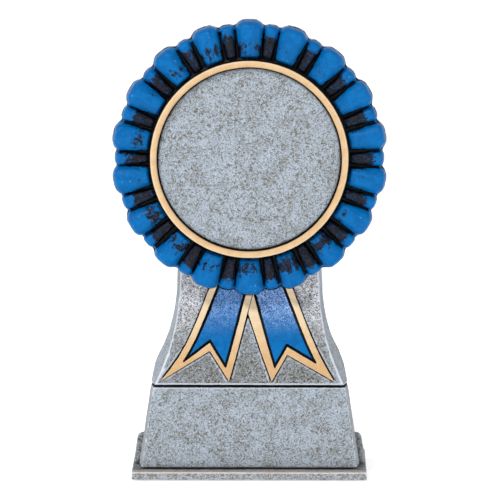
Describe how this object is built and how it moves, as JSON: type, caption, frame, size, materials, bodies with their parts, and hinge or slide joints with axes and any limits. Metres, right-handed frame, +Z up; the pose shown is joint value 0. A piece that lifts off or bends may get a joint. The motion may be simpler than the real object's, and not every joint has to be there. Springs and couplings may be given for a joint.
{
  "type": "award ribbon",
  "caption": "Cast resin award shaped as a pleated rosette ribbon with two swallow-tailed streamers, standing on a stepped base; its round centre takes a disc insert.",
  "frame": {"origin": "under the middle of the base, on the surface it stands on", "axes": "+Z up, the front faces -Y, +X to the right as seen from the front"},
  "size_m": [0.0954, 0.046, 0.1598],
  "materials": {
    "stone_resin": "grey stone effect over cast resin: dark wash in the low places, pale blue-grey dry brushing on top, matte",
    "blue_paint": "satin royal blue paint with a black wash in the folds",
    "gold_paint": "pale cream gold satin paint",
    "felt": "black felt",
    "steel": "zinc plated",
    "brass": "plain"
  },
  "bodies": {
    "root": {"felt_pad": "felt", "foot_plate": "stone_resin", "rear_plinth": "stone_resin", "nameplate_block": "stone_resin", "column": "stone_resin", "tail_left": "blue_paint", "tail_right": "blue_paint", "tail_trim_left": "gold_paint", "tail_trim_right": "gold_paint", "backing_disc": "stone_resin", "pleat_ring": "blue_paint", "bezel_ring": "gold_paint", "centre_disc": "stone_resin", "rosette_dowel_upper": "steel", "rosette_dowel_lower": "steel", "base_bolt": "steel", "base_washer": "steel", "column_insert": "brass"}
  },
  "joints": []
}
